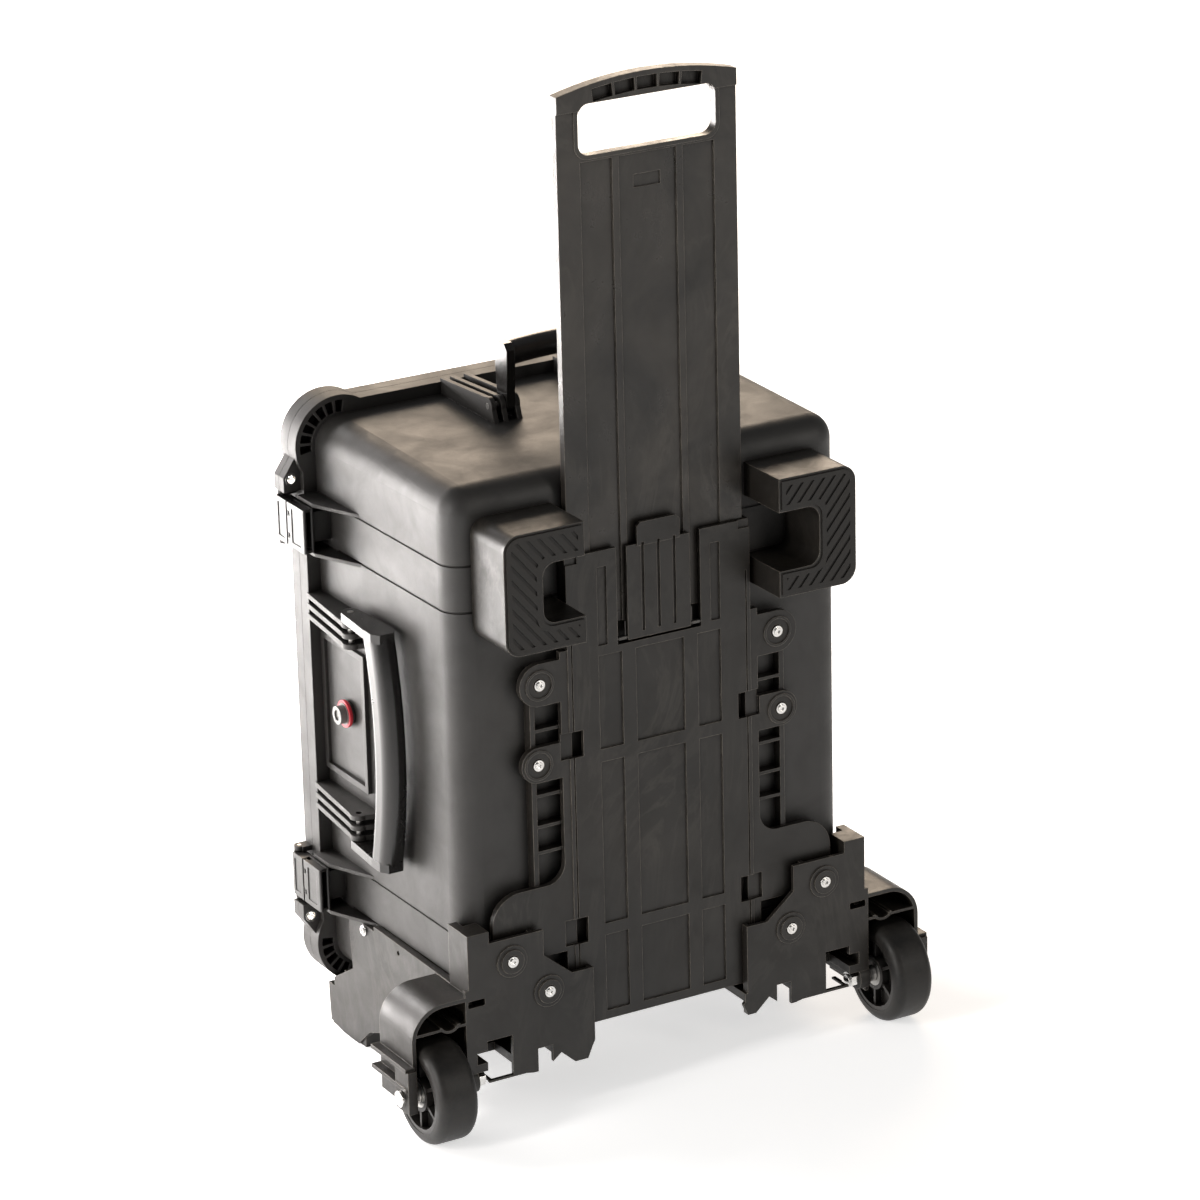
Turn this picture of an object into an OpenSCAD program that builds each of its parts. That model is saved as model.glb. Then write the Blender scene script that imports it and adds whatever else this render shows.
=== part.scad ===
// Wheeled hard equipment case with a pull handle, latches, carry handles and a purge valve.
// +Z is up as the case stands on its wheels, -Y is the trolley side, +Y is the lid side.
// All sizes are in millimetres.

/* [Case] */
// Height of the base shell from end to end
case_l = 557; // [480:1:640]
// Width of the base shell at its closed face
case_w = 420; // [380:1:470]
// Depth of the base shell from the closed face to the parting plane
base_d = 272; // [235:1:320]
// Depth of the lid shell
lid_d = 70; // [62:1:85]
// Moulded wall thickness of both shells
wall_t = 4.5; // [3.5:0.1:5.5]
// Outward draft of each wall from the closed face to the rim
draft = 4; // [2:0.5:6]
// Rounding radius of the outer edges and corners
edge_r = 24; // [16:0.5:28]
// Height of the stiffening ribs on the lid face
lid_rib_h = 6; // [4:0.5:8]

/* [Rim] */
// How far the rim stands out from the walls
rim_out = 14; // [12:0.5:16]
// Depth of each half of the rim along the parting direction
rim_t = 16; // [14:0.5:18]
// Radius of the round lobe at each rim corner
lobe_r = 46; // [42:1:50]
// How far a corner lobe stands out past the straight rim
lobe_out = 7; // [5:0.5:9]
// Gap between the two halves at the parting plane
part_gap = 0.4; // [0.3:0.05:0.6]
// Width of the seal groove and its seal
seal_w = 5; // [4:0.5:6]

/* [Bands] */
// Distance from each end of the case to the outer groove of a band
band_in = 72; // [60:1:80]
// Width of each band between its two grooves
band_w = 45; // [42:1:50]
// Width of a band groove
groove_w = 2.4; // [1.6:0.2:3]
// Depth of a band groove
groove_t = 1.4; // [0.8:0.1:1.8]

/* [Latches] */
// Width of a latch hook and lever
latch_w = 44; // [38:1:46]
// Diameter of the pin that holds a hook to the lid
hook_pin_d = 4; // [3:0.5:5]
// Diameter of the pin that joins a lever to its hook
lever_pin_d = 2.4; // [2:0.1:2.8]
// Hole diameter of the padlock bushes
padlock_d = 8; // [6:0.5:9]

/* [Carry handles] */
// Overall length of the front handle
front_handle_l = 240; // [200:1:260]
// Overall length of the top handle
top_handle_l = 122; // [114:1:150]
// Distance from the pivot to the ends of the grip, front handle
front_reach = 56; // [50:1:64]
// Distance from the pivot to the ends of the grip, top handle
top_reach = 48; // [44:1:60]
// Thickness of the front grip across the hand
front_grip_t = 25; // [20:1:26]
// Width of the front grip along the palm
front_grip_w = 34; // [28:1:38]
// Thickness of the top grip across the hand
top_grip_t = 23; // [18:1:25]
// Width of the top grip along the palm
top_grip_w = 24; // [24:1:28]
// Bow of the front grip between its ends
front_bow = 15; // [8:0.5:18]
// Bow of the top grip between its ends
top_bow = 3; // [2:0.5:6]
// Diameter of the handle pins
handle_pin_d = 6; // [5:0.5:7]

/* [Valve] */
// Diameter of the purge valve body
valve_d = 22; // [18:1:26]

/* [Pull handle] */
// Width of the sliding pull handle plate
pull_w = 188; // [170:1:200]
// Thickness of the sliding plate
pull_t = 8; // [6:0.5:9]
// Height of the hand hole
hole_h = 48; // [42:1:54]
// Height of the arched grip bar above the hand hole, at the middle
arch_h = 22; // [18:1:26]
// Drop of the arch from its middle to its shoulders
arch_drop = 12; // [8:1:16]
// Distance the pull handle slides
pull_travel = 355; // [300:5:370]
// Length of plate that stays inside the housing when extended
pull_engage = 75; // [60:1:90]

/* [Slide housing] */
// Distance from the top of the housing to the case's upper end
housing_drop = 77.5; // [60:0.5:100]
// Distance from the case's lower end to the bottom of the housing
housing_in = 7.5; // [4:0.5:12]
// Width of the housing's wall on each side of the plate
housing_side = 5; // [4:0.5:8]
// Thickness of the housing cover
cover_t = 4; // [3:0.5:5]
// Thickness of the housing floor against the case
floor_t = 3; // [2:0.5:4]
// Clearance around the sliding plate
slide_gap = 0.6; // [0.4:0.1:0.8]
// Depth of the moulded panels in the cover
panel_t = 1.8; // [1:0.2:2.4]

/* [Bumpers] */
// Distance a bumper stands out from the case face
bumper_d = 62; // [54:1:66]
// Height of a bumper
bumper_l = 117; // [100:1:130]
// Width of a bumper
bumper_w = 84; // [76:1:88]
// Distance from the case's upper end to the top of a bumper
bumper_in = 27; // [20:1:36]
// Height of the notch in a bumper
notch_h = 58; // [50:1:62]
// Depth of the notch in a bumper
notch_w = 44; // [38:1:48]

/* [Wheels] */
// Outer radius of a wheel
wheel_r = 50; // [45:1:54]
// Width of a wheel
wheel_w = 41; // [36:1:44]
// Side room between a bracket and its wheel
wheel_gap = 9; // [7:0.5:11]
// Distance of the axle below the case's lower end
axle_drop = 17.5; // [14:0.5:22]
// Distance of the axle in front of the case's closed face
axle_y = 17; // [14:0.5:22]
// Diameter of an axle bolt
axle_d = 10; // [8:1:12]
// Thickness of the bracket walls
bracket_t = 4; // [3:0.5:5]

/* [Fits] */
// Radial clearance of pins, bolts and screws in their holes
fit_c = 0.05; // [0.02:0.01:0.1]
// Side clearance between moving pieces
side_c = 0.5; // [0.4:0.1:0.8]

/* [Hidden] */
$fn = 48;

// Heights: the floor is z = 0 and the wheels and bracket feet stand on it
low_z = wheel_r + axle_drop;
mid_z = low_z + case_l / 2;
top_z = low_z + case_l;
// Depths: the case's closed face is y = 0 before the whole part is centred
y_low = -max(axle_y + wheel_r, bumper_d + 1.5);
y_high = base_d + lid_d + lid_rib_h;
y_shift = -(y_low + y_high) / 2;

// Case half sizes at the rim
rim_x = case_w / 2 + draft + rim_out;
rim_z = case_l / 2 + draft + rim_out - 2;
wall_x = case_w / 2 + draft;
lobe_x = rim_x + lobe_out - lobe_r;
lobe_z = rim_z + lobe_out - lobe_r;
band_mid = case_l / 2 - band_in - band_w / 2;
// How far the round corner cutters stand off the flat walls, so each pair of faces crosses cleanly
blend_c = 0.01;

// Hinge axis, on the parting plane
hinge_x = rim_x + 10;
hinge_r = 7;
hinge_pin_d = 6;
hinge_zs = [-170, 0, 170];

// Latch pivots
hook_x = -(rim_x + 10);
hook_y = base_d + 9;
hook_r = 5.5;
skin_x = -(rim_x + 18);
lever_x = skin_x + 1.9;
lever_y = base_d - 15;
lever_r = 1.9;
latch_y = base_d - 45;
latch_plate_t = 4;
latch_plate_x = hook_x + 4.5;
knuckle_z = 11;
knuckle_w = 4;
ear_t = 5;
ear_z = latch_w / 2 + side_c;
hasp_z = latch_w / 2 + 19;
bush_t = 2;
guard_t = 3.4;
guard_z = ear_z + 2.2;

// Carry handle pivots
handle_y = base_d - 107;
pivot_out = 18;
front_x = -(case_w / 2 + pivot_out + 2);
top_pz = top_z + pivot_out - 2;
pivot_r = 9;
arm_t = 9;
mount_t = 5;
mount_pitch = 10.5;

// Valve
valve_y = base_d - 63;
valve_wall_x = -(wall_x - 1);
valve_stem_r = valve_d / 2 - 4;

// Pull handle and housing
plate_y = -(floor_t + slide_gap + pull_t);
cover_y = plate_y - slide_gap;
front_y = cover_y - cover_t;
housing_w = pull_w + 2 * housing_side;
housing_bot = low_z + housing_in;
housing_top = top_z - housing_drop;
pull_bot = housing_top - pull_engage;
hole_bot = housing_top + pull_travel + 20;
hole_top = hole_bot + hole_h;
arch_top = hole_top + arch_h;
arch_r = (pow(pull_w / 2, 2) + arch_drop * arch_drop) / (2 * arch_drop);
stile_w = 22;
pocket_pitch = 24;
flange_x = housing_w / 2 + 51;
flange_t = 6;
slot_z1 = mid_z + 15.6;
slot_z2 = low_z + 105.3;
boss_up = [housing_w / 2 + 30, mid_z + 82.1];
boss_low = [housing_w / 2 + 33.4, mid_z + 3.2];

// Release lever
lever_w = 68;
lever_bot = housing_top - 91;
lever_top = housing_top + 8;
lever_t = 3.4;
lever_y0 = front_y - 0.2;
pin_y = lever_y0 + lever_t / 2 + 0.5;
pin_r = 1.5;
lever_gap = 11;
detent_z = lever_top - 20;
slot_w = 12;

// Bumpers
bumper_in_x = housing_w / 2 + 5;
bumper_top = top_z - bumper_in;
bumper_bot = bumper_top - bumper_l;
notch_bot = bumper_bot + 26;
pad_t = 3;
bumper_wall = 5;

// Wheel brackets
axle_z = wheel_r;
plate_front = front_y - 8.8;
plate_in_x = housing_w / 2 - 14;
plate_out_x = case_w / 2 - 10;
plate_top = low_z + 120.5;
side_x = wall_x + 5;
side_t = 7;
well_in_x = side_x + bracket_t;
wheel_x = well_in_x + wheel_gap + wheel_w / 2;
fender_x = wheel_x + wheel_w / 2 + 7.5;
ledge_x = fender_x + 9;
fender_top = 2 * wheel_r + 39;
fender_back = wheel_r - axle_y + 7;
fender_r = 34;
rib_z = 2 * wheel_r + 11;
b_out = [plate_out_x - 27.6, low_z + 97];
b_in = [housing_w / 2 + 34.9, low_z + 57.4];
side_screw = [base_d - 87, low_z + 62];
foot_y = base_d - 6;
screw_d = 6;
head_d = 11;
nut_af = 15;
nut_h = 8;
hub_r = wheel_r - 12;
bearing_r = 13;
bearing_w = 9;
bearing_in = 1;

// ---------- helpers ----------

module placed() {
    translate([0, y_shift, 0]) children();
}

module both_sides() {
    children();
    mirror([1, 0, 0]) children();
}

module both_ends() {
    children();
    translate([0, 0, 2 * mid_z]) mirror([0, 0, 1]) children();
}

// Cylinder along X, Y or Z from a start point
module rod_x(x, y, z, r, l) {
    translate([x, y, z]) rotate([0, 90, 0]) cylinder(r = r, h = l);
}

module rod_y(x, y, z, r, l) {
    translate([x, y, z]) rotate([-90, 0, 0]) cylinder(r = r, h = l);
}

module rod_z(x, y, z, r, l) {
    translate([x, y, z]) cylinder(r = r, h = l);
}

// Box between two corners
module block(a, b) {
    translate(a) cube(b - a);
}

// Outline in X and Z, made solid from y0 to y1
module slab_xz(y0, y1) {
    translate([0, y1, 0]) rotate([90, 0, 0]) linear_extrude(y1 - y0) children();
}

// Outline in Y and Z, made solid from x0 to x1
module slab_yz(x0, x1) {
    translate([x0, 0, 0]) rotate([90, 0, 90]) linear_extrude(x1 - x0) children();
}

// Rectangle with round corners
module round_rect(x0, z0, x1, z1, r) {
    translate([x0 + r, z0]) square([x1 - x0 - 2 * r, z1 - z0]);
    translate([x0, z0 + r]) square([x1 - x0, z1 - z0 - 2 * r]);
    for (x = [x0 + r, x1 - r], z = [z0 + r, z1 - r]) translate([x, z]) circle(r);
}

// ---------- case shells ----------

// Drafted outline of a shell from its closed face at yc to its rim at yo, half size h, shrunk by s
module draft_section(h, s, yc, yo) {
    d = sign(yo - yc);
    polygon([[-h + s, yc + d * edge_r], [-h - draft + s, yo], [h + draft - s, yo], [h - s, yc + d * edge_r],
        [h - edge_r, yc + d * s], [-h + edge_r, yc + d * s]]);
    for (u = [-1, 1]) translate([u * (h - edge_r), yc + d * edge_r]) circle(edge_r - s);
}

// Post with a drafted side that rounds the shell edges from its closed face to its rim
module edge_post(s, yc, yo) {
    d = sign(yo - yc);
    l = abs(yo - yc) - edge_r;
    k = draft / l;
    r = edge_r - s + blend_c;
    translate([0, yc + d * edge_r, 0]) rotate([-90 * d, 0, 0]) {
        translate([0, 0, -edge_r - 1]) cylinder(r = r, h = edge_r + 1);
        cylinder(r1 = r, r2 = r + draft + k, h = l + 1);
    }
}

// Shell body with drafted walls, round edges and round corners, shrunk by s
module shell_body(s, yc, yo) {
    y0 = min(yc, yo);
    y1 = max(yc, yo);
    cx = case_w / 2 - edge_r;
    cz = case_l / 2 - edge_r;
    r = edge_r + 1;
    translate([0, 0, mid_z]) difference() {
        intersection() {
            linear_extrude(2 * case_l, center = true) draft_section(case_w / 2, s, yc, yo);
            rotate([0, -90, 0]) linear_extrude(2 * case_w, center = true)
                draft_section(case_l / 2, s, yc, yo);
            union() {
                block([-cx, y0 - 1, -case_l], [cx, y1 + 1, case_l]);
                block([-case_w, y0 - 1, -cz], [case_w, y1 + 1, cz]);
                for (x = [-cx, cx], z = [-cz, cz]) translate([x, 0, z]) edge_post(s, yc, yo);
            }
        }
        for (x = [-1, 1], z = [-1, 1])
            translate([x * cx, yc + sign(yo - yc) * edge_r, z * cz]) difference() {
                block([x > 0 ? 0 : -r, yo > yc ? -r : 0, z > 0 ? 0 : -r],
                    [x > 0 ? r : 0, yo > yc ? 0 : r, z > 0 ? r : 0]);
                sphere(edge_r - s + blend_c);
            }
    }
}

// Rim frame with a round lobe at each corner
module rim_ring(y0, y1) {
    translate([0, 0, mid_z]) slab_xz(y0, y1) difference() {
        union() {
            square([2 * rim_x, 2 * lobe_z], center = true);
            square([2 * lobe_x, 2 * rim_z], center = true);
            for (x = [-1, 1], z = [-1, 1]) translate([x * lobe_x, z * lobe_z]) circle(lobe_r, $fn = 64);
        }
        round_rect(-wall_x + wall_t / 2, -case_l / 2 - draft + wall_t / 2, wall_x - wall_t / 2,
            case_l / 2 + draft - wall_t / 2, edge_r + draft - wall_t / 2);
    }
}

// Pockets between the radial gussets behind each corner lobe
module lobe_pockets(y0, y1) {
    for (x = [-1, 1], z = [-1, 1]) translate([x * lobe_x, 0, mid_z + z * lobe_z]) slab_xz(y0, y1)
        for (i = [0:6]) rotate(atan2(z, x) - 54 + i * 16)
            polygon([for (k = [0:4]) (lobe_r - 5) * [cos(k * 3), sin(k * 3)],
                for (k = [4:-1:0]) (lobe_r - 17) * [cos(k * 3), sin(k * 3)]]);
}

module band_grooves() {
    for (s = [-1, 1], e = [-1, 1])
        translate([0, 0, mid_z + s * (band_mid + e * band_w / 2) - groove_w / 2]) linear_extrude(groove_w)
            difference() {
                translate([-case_w, -5]) square([2 * case_w, base_d - 49]);
                draft_section(case_w / 2, groove_t, 0, base_d);
            }
}

// Ear with a padlock hole, drawn for one latch with its middle at z = 0
module hasp_ear(y0, y1) {
    difference() {
        slab_xz(y0, y1) polygon([[-rim_x + 4, ear_z + ear_t + 1], [skin_x, ear_z + ear_t + 1],
            [skin_x, hasp_z + 2], [-rim_x - 3, hasp_z + 24], [-rim_x + 4, hasp_z + 24]]);
        rod_y(hook_x, y0 - 1, hasp_z, padlock_d / 2 + bush_t + fit_c, y1 - y0 + 2);
    }
}

// Guards beside a latch, its catch and the seat of its padlock ear
module latch_seat() {
    for (s = [-1, 1]) translate([0, 0, s * guard_z]) linear_extrude(guard_t, center = true)
        polygon([[-case_w / 2, base_d - 104], [-rim_x - 7, base_d - 47], [-rim_x - 7, base_d - rim_t],
            [-case_w / 2, base_d - rim_t]]);
    block([latch_plate_x + 0.9, latch_y + 6, -15], [-case_w / 2, latch_y + 20, 15]);
    block([latch_plate_x + 0.9, latch_y + 12, -12], [-rim_x + 2, base_d - rim_t + 2, 12]);
}

module front_mount_rib() {
    difference() {
        union() {
            linear_extrude(mount_t, center = true)
                polygon([[-case_w / 2, base_d - rim_t + 2], [-rim_x - 1, base_d - rim_t + 2],
                    [front_x - pivot_r + 1, handle_y + 3], [front_x, handle_y - pivot_r + 1],
                    [-case_w / 2, handle_y - 14]]);
            rod_z(front_x, handle_y, -mount_t / 2, pivot_r, mount_t);
        }
        rod_z(front_x, handle_y, -mount_t, handle_pin_d / 2 + fit_c, 2 * mount_t);
    }
}

module top_mount_rib() {
    difference() {
        union() {
            slab_yz(-mount_t / 2, mount_t / 2)
                polygon([[base_d - rim_t + 2, top_z], [base_d - rim_t + 2, mid_z + rim_z + 3],
                    [handle_y + 3, top_pz + pivot_r - 1], [handle_y - pivot_r + 1, top_pz],
                    [handle_y - 14, top_z]]);
            rod_x(-mount_t / 2, handle_y, top_pz, pivot_r, mount_t);
        }
        rod_x(-mount_t, handle_y, top_pz, handle_pin_d / 2 + fit_c, 2 * mount_t);
    }
}

front_arm_z = front_handle_l / 2 - arm_t;
top_arm_x = top_handle_l / 2 - arm_t;

function front_rib_zs() = [for (i = [1:3]) front_arm_z - side_c - mount_t / 2 - (i - 1) * mount_pitch];
function top_rib_xs() = [top_arm_x + arm_t + side_c + mount_t / 2,
    top_arm_x + arm_t + side_c + mount_t / 2 + mount_pitch, top_arm_x - side_c - mount_t / 2];

// Screw bosses inside the closed face
module screw_bosses(r, y0, y1) {
    both_sides() {
        for (p = [boss_up, boss_low, b_out, b_in]) rod_y(p[0], y0, p[1], r, y1 - y0);
    }
}

module base_shell() placed() color("#2e2b28") difference() {
    union() {
        difference() {
            shell_body(0, 0, base_d - part_gap / 2);
            shell_body(wall_t, 0, base_d + 2);
            band_grooves();
        }
        // Bosses inside the walls for the screws and the valve
        screw_bosses(8, wall_t - 2, 15);
        both_sides() rod_x(wall_x - 14, side_screw[0], side_screw[1], 8, 12);
        rod_x(-wall_x + 2, valve_y, mid_z, valve_d / 2 + 6, 6);
        difference() {
            rim_ring(base_d - rim_t, base_d - part_gap / 2);
            lobe_pockets(base_d - rim_t - 1, base_d - 6);
        }
        // Hinge knuckles
        for (z = hinge_zs, s = [-1, 1]) {
            rod_z(hinge_x, base_d, mid_z + z + (s > 0 ? 10 : -24), hinge_r, 14);
            block([rim_x - 3, base_d - 12, mid_z + z + (s > 0 ? 10 : -24)],
                [hinge_x, base_d - part_gap / 2, mid_z + z + (s > 0 ? 24 : -10)]);
        }
        both_ends() translate([0, 0, mid_z + band_mid]) {
            latch_seat();
            hasp_ear(base_d - 10, base_d - part_gap / 2);
        }
        both_ends() for (z = front_rib_zs()) translate([0, 0, mid_z + z]) front_mount_rib();
        both_sides() for (x = top_rib_xs()) translate([x, 0, 0]) top_mount_rib();
        // Raised frame around the valve
        difference() {
            block([-wall_x - 3, valve_y - 40, mid_z - 70], [-case_w / 2, base_d - rim_t + 2, mid_z + 70]);
            block([-wall_x - 4, valve_y - 34, mid_z - 64], [0, base_d - rim_t - 6, mid_z + 64]);
        }
    }
    // Hinge pin holes
    for (z = hinge_zs) rod_z(hinge_x, base_d, mid_z + z - 30, hinge_pin_d / 2 + fit_c, 60);
    // Room for the lid's knuckles
    for (z = hinge_zs) rod_z(hinge_x, base_d, mid_z + z - 10, hinge_r + side_c, 20);
    screw_bosses(screw_d / 2 + fit_c, -1, 13);
    both_sides() rod_x(wall_x - 11, side_screw[0], side_screw[1], screw_d / 2 + fit_c, 20);
    rod_x(-wall_x - 10, valve_y, mid_z, valve_stem_r + fit_c, 30);
}

module lid_shell() placed() color("#2b2826") difference() {
    union() {
        difference() {
            shell_body(0, base_d + lid_d, base_d + part_gap / 2);
            shell_body(wall_t, base_d + lid_d, base_d - 2);
        }
        difference() {
            rim_ring(base_d + part_gap / 2, base_d + rim_t);
            lobe_pockets(base_d + 6, base_d + rim_t + 1);
        }
        lid_ribs();
        for (z = hinge_zs) {
            rod_z(hinge_x, base_d, mid_z + z - 10 + side_c, hinge_r, 20 - 2 * side_c);
            block([rim_x - 3, base_d + part_gap / 2, mid_z + z - 10 + side_c],
                [hinge_x, base_d + 12, mid_z + z + 10 - side_c]);
        }
        both_ends() translate([0, 0, mid_z + band_mid]) {
            hook_ears();
            hasp_ear(base_d + part_gap / 2, base_d + 10);
        }
    }
    for (z = hinge_zs) {
        rod_z(hinge_x, base_d, mid_z + z - 30, hinge_pin_d / 2 + fit_c, 60);
        for (s = [-1, 1]) rod_z(hinge_x, base_d, mid_z + z + (s > 0 ? 10 - side_c : -26), hinge_r + side_c,
            16 + side_c);
    }
    seal_ring(seal_w + 0.4, 5);
}

// Stiffening ribs on the lid face: a raised frame and bars across it
module lid_ribs() {
    y0 = base_d + lid_d - 2;
    y1 = base_d + lid_d + lid_rib_h;
    pitch = (case_w - 54) / 3;
    translate([0, 0, mid_z]) slab_xz(y0, y1) difference() {
        round_rect(-case_w / 2 + 22, -case_l / 2 + 22, case_w / 2 - 22, case_l / 2 - 22, 14);
        for (x = [-1, 0, 1]) translate([x * pitch, 0])
            round_rect(-pitch / 2 + 11, -case_l / 2 + 36, pitch / 2 - 11, case_l / 2 - 36, 8);
    }
}

// Two ears on the lid that hold a hook pin, drawn with the latch middle at z = 0
module hook_ears() {
    for (s = [-1, 1]) difference() {
        union() {
            rod_z(hook_x, hook_y, s > 0 ? ear_z : -ear_z - ear_t, hook_r, ear_t);
            block([hook_x, base_d + part_gap / 2 + 1, s > 0 ? ear_z : -ear_z - ear_t],
                [-rim_x + 4, hook_y + hook_r, s > 0 ? ear_z + ear_t : -ear_z]);
        }
        rod_z(hook_x, hook_y, -latch_w, hook_pin_d / 2 + fit_c, 2 * latch_w);
    }
}

module seal_ring(w, t) {
    translate([0, 0, mid_z]) slab_xz(base_d + part_gap / 2 - 0.01, base_d + part_gap / 2 + t) difference() {
        round_rect(-wall_x - w / 2 - 3, -case_l / 2 - draft - w / 2 - 3, wall_x + w / 2 + 3,
            case_l / 2 + draft + w / 2 + 3, edge_r + w / 2);
        round_rect(-wall_x + w / 2 - 3, -case_l / 2 - draft + w / 2 - 3, wall_x - w / 2 + 3,
            case_l / 2 + draft - w / 2 + 3, edge_r - w / 2);
    }
}

module lid_seal() placed() color("#1a1a1a") translate([0, 0.2, 0]) seal_ring(seal_w, 4.8);

module hinge_pins() placed() color("#9a9a9a")
    for (z = hinge_zs) rod_z(hinge_x, base_d, mid_z + z - 24, hinge_pin_d / 2, 48);

module padlock_bush(y0, y1) {
    difference() {
        rod_y(hook_x, y0, hasp_z, padlock_d / 2 + bush_t, y1 - y0);
        rod_y(hook_x, y0 - 1, hasp_z, padlock_d / 2, y1 - y0 + 2);
    }
}

module padlock_bushes_base() placed() color("#b8b8b4") both_ends() translate([0, 0, mid_z + band_mid])
    padlock_bush(base_d - 10.4, base_d - part_gap / 2);

module padlock_bushes_lid() placed() color("#b8b8b4") both_ends() translate([0, 0, mid_z + band_mid])
    padlock_bush(base_d + part_gap / 2, base_d + 10.4);

// ---------- latches ----------

module latch_hook() {
    difference() {
        union() {
            block([latch_plate_x - latch_plate_t, latch_y, -latch_w / 2],
                [latch_plate_x, hook_y, latch_w / 2]);
            rod_z(hook_x, hook_y, -latch_w / 2, hook_r, latch_w);
            block([skin_x, lever_y + 3, -latch_w / 2], [latch_plate_x - 1, hook_y, latch_w / 2]);
            rod_z(latch_plate_x - 2, latch_y, -latch_w / 2, 2, latch_w);
            for (s = [-1, 1]) {
                rod_z(lever_x, lever_y, s * knuckle_z - knuckle_w / 2, lever_r, knuckle_w);
                block([lever_x, lever_y - lever_r, s * knuckle_z - knuckle_w / 2],
                    [latch_plate_x - 1, lever_y + 3.5, s * knuckle_z + knuckle_w / 2]);
            }
        }
        rod_z(hook_x, hook_y, -latch_w, hook_pin_d / 2 + fit_c, 2 * latch_w);
        rod_z(lever_x, lever_y, -latch_w, lever_pin_d / 2 + fit_c, 2 * latch_w);
        // Shallow steps on the cover
        block([skin_x - 1, lever_y + 8, -latch_w / 2 + 5], [skin_x + 0.8, hook_y - 4, latch_w / 2 - 5]);
    }
}

module latch_lever() {
    difference() {
        union() {
            block([skin_x, latch_y - 2, -latch_w / 2], [skin_x + 3.6, lever_y, latch_w / 2]);
            rod_z(lever_x, lever_y, -latch_w / 2, lever_r, latch_w);
            for (s = [-1, 1]) block([skin_x, latch_y - 2, s > 0 ? latch_w / 2 - 3 : -latch_w / 2],
                [skin_x + 8, lever_y - 4, s > 0 ? latch_w / 2 : -latch_w / 2 + 3]);
            rod_z(skin_x + 1.8, latch_y - 2, -latch_w / 2, 1.8, latch_w);
        }
        for (s = [-1, 1]) block([skin_x - 1, lever_y - 4.5, s * knuckle_z - knuckle_w / 2 - side_c],
            [skin_x + 8, lever_y + 4, s * knuckle_z + knuckle_w / 2 + side_c]);
        rod_z(lever_x, lever_y, -latch_w, lever_pin_d / 2 + fit_c, 2 * latch_w);
        block([skin_x - 1, latch_y + 4, -latch_w / 2 + 5], [skin_x + 0.8, lever_y - 8, latch_w / 2 - 5]);
    }
}

module latch_hook_upper() placed() color("#24211f") translate([0, 0, mid_z + band_mid]) latch_hook();
module latch_hook_lower() placed() color("#24211f") translate([0, 0, mid_z - band_mid]) latch_hook();
module latch_lever_upper() placed() color("#24211f") translate([0, 0, mid_z + band_mid]) latch_lever();
module latch_lever_lower() placed() color("#24211f") translate([0, 0, mid_z - band_mid]) latch_lever();

module latch_hook_pins() placed() color("#9a9a9a") for (s = [-1, 1])
    rod_z(hook_x, hook_y, mid_z + s * band_mid - ear_z - ear_t, hook_pin_d / 2, 2 * (ear_z + ear_t));

module latch_lever_pin(s) placed() color("#9a9a9a")
    rod_z(lever_x, lever_y, mid_z + s * band_mid - latch_w / 2 + 2, lever_pin_d / 2, latch_w - 4);

module latch_lever_pin_upper() latch_lever_pin(1);
module latch_lever_pin_lower() latch_lever_pin(-1);

// ---------- carry handles ----------

// Oval outline of a grip, width along the first axis and thickness along the second
module grip_outline(w, t) {
    for (s = [-1, 1]) translate([s * (w - t) / 2, 0]) circle(t / 2);
    square([w - t, t], center = true);
}

// Handle drawn with its pivots on the Z axis and its grip towards -Y
module carry_handle(l, reach, bow, w, t) {
    c = l - arm_t - 2;
    r = (c * c / 4 + bow * bow) / (2 * bow);
    a = 2 * asin(c / 2 / r);
    difference() {
        union() {
            translate([0, r - bow - reach, 0]) rotate([0, 90, 0]) rotate([0, 0, -90 - a / 2])
                rotate_extrude(angle = a, $fn = 96) translate([r, 0]) grip_outline(w, t);
            for (s = [-1, 1]) translate([0, 0, s * (l / 2 - arm_t / 2)]) {
                cylinder(r = pivot_r, h = arm_t, center = true);
                linear_extrude(arm_t, center = true)
                    polygon([[-pivot_r, 0], [pivot_r, 0], [t / 2 + 0.2, -reach + w / 4],
                        [t / 2 + 0.2, -reach - w / 4], [t / 2 - 5, -reach - w / 2 - 0.3],
                        [-t / 2 + 5, -reach - w / 2 - 0.3], [-t / 2 - 0.2, -reach - w / 4],
                        [-t / 2 - 0.2, -reach + w / 4]]);
            }
        }
        cylinder(r = handle_pin_d / 2 + fit_c, h = 2 * l, center = true);
    }
}

module front_handle() placed() color("#1d1b1a") translate([front_x, handle_y, mid_z])
    carry_handle(front_handle_l, front_reach, front_bow, front_grip_w, front_grip_t);

module front_handle_pins() placed() color("#8c8c8a") both_ends()
    rod_z(front_x, handle_y, mid_z + front_arm_z - side_c - 2 * mount_pitch, handle_pin_d / 2,
        2 * mount_pitch + arm_t + side_c);

module top_handle() placed() color("#1d1b1a") translate([0, handle_y, top_pz]) rotate([-90, 0, -90])
    carry_handle(top_handle_l, top_reach, top_bow, top_grip_w, top_grip_t);

module top_handle_pins() placed() color("#8c8c8a") both_sides()
    rod_x(top_arm_x - side_c - mount_t, handle_y, top_pz, handle_pin_d / 2,
        arm_t + 2 * side_c + 2 * mount_t + mount_pitch);

// ---------- valve ----------

module valve_body() placed() color("#3a3836") difference() {
    union() {
        rod_x(valve_wall_x - 7, valve_y, mid_z, valve_d / 2, 6.7);
        rod_x(valve_wall_x - 3, valve_y, mid_z, valve_stem_r, 20);
    }
    rod_x(valve_wall_x - 8, valve_y, mid_z, 2.5, 30);
}

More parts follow.
